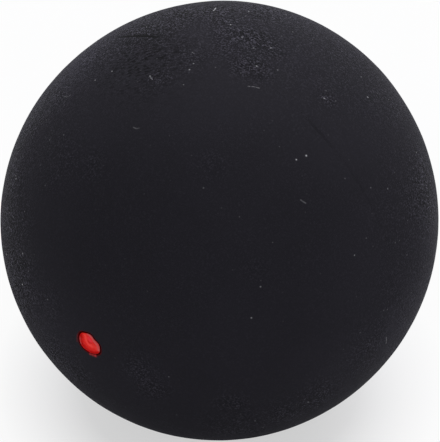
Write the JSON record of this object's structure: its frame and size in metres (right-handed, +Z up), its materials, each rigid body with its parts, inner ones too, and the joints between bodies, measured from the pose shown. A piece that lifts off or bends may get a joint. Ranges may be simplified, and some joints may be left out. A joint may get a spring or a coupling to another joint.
{
  "type": "squash ball",
  "caption": "Small hollow ball of matte black rubber, made of half shells cemented together round a sealed air space, with a red speed dot.",
  "frame": {"origin": "centre of the ball", "axes": "+Y along the ball's own axis, from the red dot at the -Y pole to the plain pole; the joint of the half shells lies in the XZ plane; +Z is up"},
  "size_m": [0.04, 0.0401, 0.04],
  "materials": {
    "shell_rubber": "matte black moulded rubber with a fine ground grain",
    "cement": "cured black rubber cement, slightly smoother than the shells",
    "dot_paint": "matte red rubber paint"
  },
  "bodies": {
    "root": {"front_half_shell": "shell_rubber", "rear_half_shell": "shell_rubber", "seam_cement": "cement", "speed_dot": "dot_paint"}
  },
  "joints": []
}
